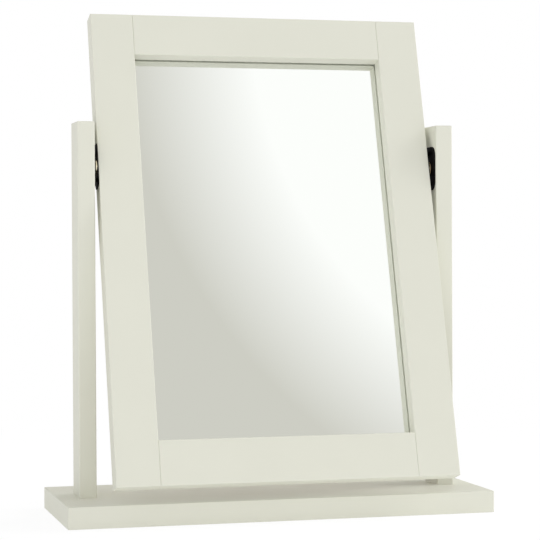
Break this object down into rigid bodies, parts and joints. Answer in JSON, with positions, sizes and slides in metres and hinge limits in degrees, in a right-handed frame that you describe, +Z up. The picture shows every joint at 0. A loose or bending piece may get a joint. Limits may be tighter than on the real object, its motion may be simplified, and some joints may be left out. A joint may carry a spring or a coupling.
{
  "type": "dressing table mirror",
  "caption": "Tabletop mirror in a plain painted frame that tilts on friction hinges between square posts on a rectangular base board.",
  "frame": {"origin": "on the surface the mirror stands on, under the middle of the base board", "axes": "+Z up, the mirror faces -Y, +X to the right as seen from the front"},
  "size_m": [0.52, 0.2192, 0.6081],
  "materials": {
    "paint": "satin off-white paint on wood",
    "beech": "bare beech",
    "hardboard": "smooth brown hardboard",
    "mirror": "silvered float glass",
    "black_metal": "satin black",
    "brass": "satin pale brass",
    "steel": "zinc plated",
    "fibre": "tan fibre washer"
  },
  "bodies": {
    "stand": {"base_board": "paint", "left_post": "paint", "right_post": "paint", "post_dowels": "beech", "post_screws": "steel", "left_post_plate": "black_metal", "right_post_plate": "black_metal", "post_plate_screws": "black_metal", "left_pivot_stud": "steel", "right_pivot_stud": "steel", "left_friction_washer": "fibre", "right_friction_washer": "fibre", "left_spring_washer": "steel", "right_spring_washer": "steel", "left_pivot_nut": "steel", "right_pivot_nut": "steel"},
    "mirror": {"left_stile": "paint", "right_stile": "paint", "top_rail": "paint", "bottom_rail": "paint", "rail_dowels": "beech", "left_frame_plate": "black_metal", "right_frame_plate": "black_metal", "frame_plate_screws": "black_metal", "left_pivot_bush": "brass", "right_pivot_bush": "brass", "mirror_glass": "mirror", "backing_board": "hardboard", "turn_clips": "steel", "turn_clip_screws": "steel"}
  },
  "joints": [
    {"name": "mirror_tilt", "type": "hinge", "parent": "stand", "child": "mirror", "pos_m": [0, 0, 0.42], "axis": [-1, 0, 0], "range_deg": [-106.3, 73.7]}
  ]
}
